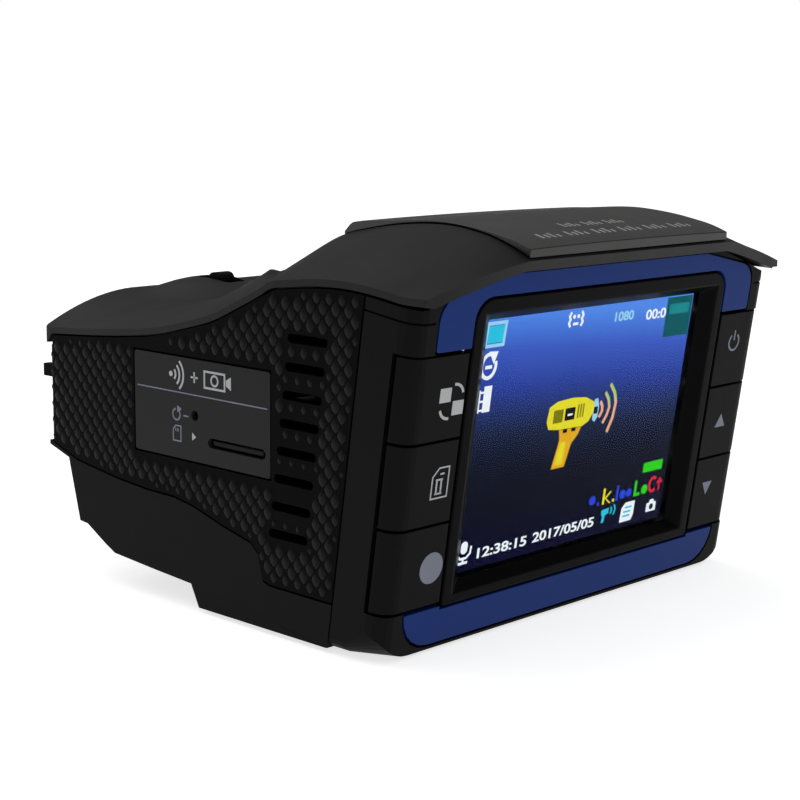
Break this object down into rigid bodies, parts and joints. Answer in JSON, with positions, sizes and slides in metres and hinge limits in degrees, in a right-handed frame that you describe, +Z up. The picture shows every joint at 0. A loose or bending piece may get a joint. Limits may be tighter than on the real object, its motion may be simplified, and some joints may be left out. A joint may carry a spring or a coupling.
{
  "type": "radar detector with dash camera",
  "caption": "Dashboard radar detector with a tilting dash camera, rear display, side keys, memory-card slot and textured black housing.",
  "frame": {"origin": "middle of the footprint, on the plane that the base pad stands on", "axes": "+Z up; +Y from the display towards the nose and the windscreen; +X to the right of somebody looking at the display"},
  "size_m": [0.0826, 0.0874, 0.0598],
  "materials": {
    "matte_black": "fine satin, dark charcoal",
    "grained_black": "moulded diamond grain",
    "dark_grey": "satin",
    "gloss_black": "polished",
    "blue_trim": "satin metallic blue",
    "key_plastic": "satin with pale printed symbols",
    "pad_rubber": "matt",
    "display_glass": "clear cover over the display",
    "lens_glass": "coated lens",
    "smoked_window": "dark infrared window",
    "inner_plastic": "as moulded",
    "plunger_plastic": "as moulded",
    "board": "solder mask",
    "sheet_metal": "plated",
    "cast_horn": "die cast",
    "card_plastic": "as moulded",
    "battery_film": "film",
    "screw_steel": "zinc plated"
  },
  "bodies": {
    "shell": {"top_cover": "matte_black", "top_plate": "dark_grey", "side_panel_left": "grained_black", "side_panel_right": "grained_black", "bottom_cover": "matte_black", "front_panel": "matte_black", "rear_frame": "matte_black", "screen_bezel": "gloss_black", "blue_trim_upper": "blue_trim", "blue_trim_lower": "blue_trim", "nameplate": "dark_grey", "base_pad": "pad_rubber", "front_window": "smoked_window", "camera_bracket": "inner_plastic", "horn_antenna": "cast_horn", "radar_board": "board", "laser_lens": "lens_glass", "laser_sensor": "inner_plastic", "lcd_glass": "display_glass", "lcd_module": "sheet_metal", "switch_camera": "inner_plastic", "switch_menu": "inner_plastic", "switch_record": "inner_plastic", "switch_power": "inner_plastic", "switch_up": "inner_plastic", "switch_down": "inner_plastic", "key_board_left": "board", "key_board_right": "board", "main_board": "board", "card_socket": "sheet_metal", "reset_switch": "inner_plastic", "power_jack": "sheet_metal", "jack_tongue": "inner_plastic", "battery": "battery_film", "speaker": "inner_plastic", "microphone": "sheet_metal", "screw_1": "screw_steel", "screw_2": "screw_steel", "screw_3": "screw_steel", "screw_4": "screw_steel"},
    "key_camera": {"key_camera": "key_plastic", "switch_camera_plunger": "plunger_plastic"},
    "key_menu": {"key_menu": "key_plastic", "switch_menu_plunger": "plunger_plastic"},
    "key_record": {"key_record": "key_plastic", "switch_record_plunger": "plunger_plastic"},
    "key_power": {"key_power": "key_plastic", "switch_power_plunger": "plunger_plastic"},
    "key_up": {"key_up": "key_plastic", "switch_up_plunger": "plunger_plastic"},
    "key_down": {"key_down": "key_plastic", "switch_down_plunger": "plunger_plastic"},
    "camera_barrel": {"lens_barrel": "matte_black", "lens_ring": "gloss_black", "lens_glass": "lens_glass", "lens_body": "matte_black", "sensor_board": "board"},
    "card": {"memory_card": "card_plastic"},
    "reset": {"reset_button": "plunger_plastic"}
  },
  "joints": [
    {"name": "press_camera", "type": "slide", "parent": "shell", "child": "key_camera", "axis": [0, 0.9903, 0.1392], "range_m": [0, 0.0004], "stiffness_N_per_m": 2500},
    {"name": "press_menu", "type": "slide", "parent": "shell", "child": "key_menu", "axis": [0, 0.9903, 0.1392], "range_m": [0, 0.0004], "stiffness_N_per_m": 2500},
    {"name": "press_record", "type": "slide", "parent": "shell", "child": "key_record", "axis": [0, 0.9903, 0.1392], "range_m": [0, 0.0004], "stiffness_N_per_m": 2500},
    {"name": "press_power", "type": "slide", "parent": "shell", "child": "key_power", "axis": [0, 0.9903, 0.1392], "range_m": [0, 0.0004], "stiffness_N_per_m": 2500},
    {"name": "press_up", "type": "slide", "parent": "shell", "child": "key_up", "axis": [0, 0.9903, 0.1392], "range_m": [0, 0.0004], "stiffness_N_per_m": 2500},
    {"name": "press_down", "type": "slide", "parent": "shell", "child": "key_down", "axis": [0, 0.9903, 0.1392], "range_m": [0, 0.0004], "stiffness_N_per_m": 2500},
    {"name": "tilt_camera", "type": "hinge", "parent": "shell", "child": "camera_barrel", "pos_m": [-0.016, 0.0285, 0.0342], "axis": [1, 0, 0], "range_deg": [-8, 8]},
    {"name": "slide_card", "type": "slide", "parent": "shell", "child": "card", "axis": [-1, 0, 0], "range_m": [-0.0008, 0.013]},
    {"name": "press_reset", "type": "slide", "parent": "shell", "child": "reset", "axis": [1, 0, 0], "range_m": [0, 0.0003], "stiffness_N_per_m": 2500}
  ]
}
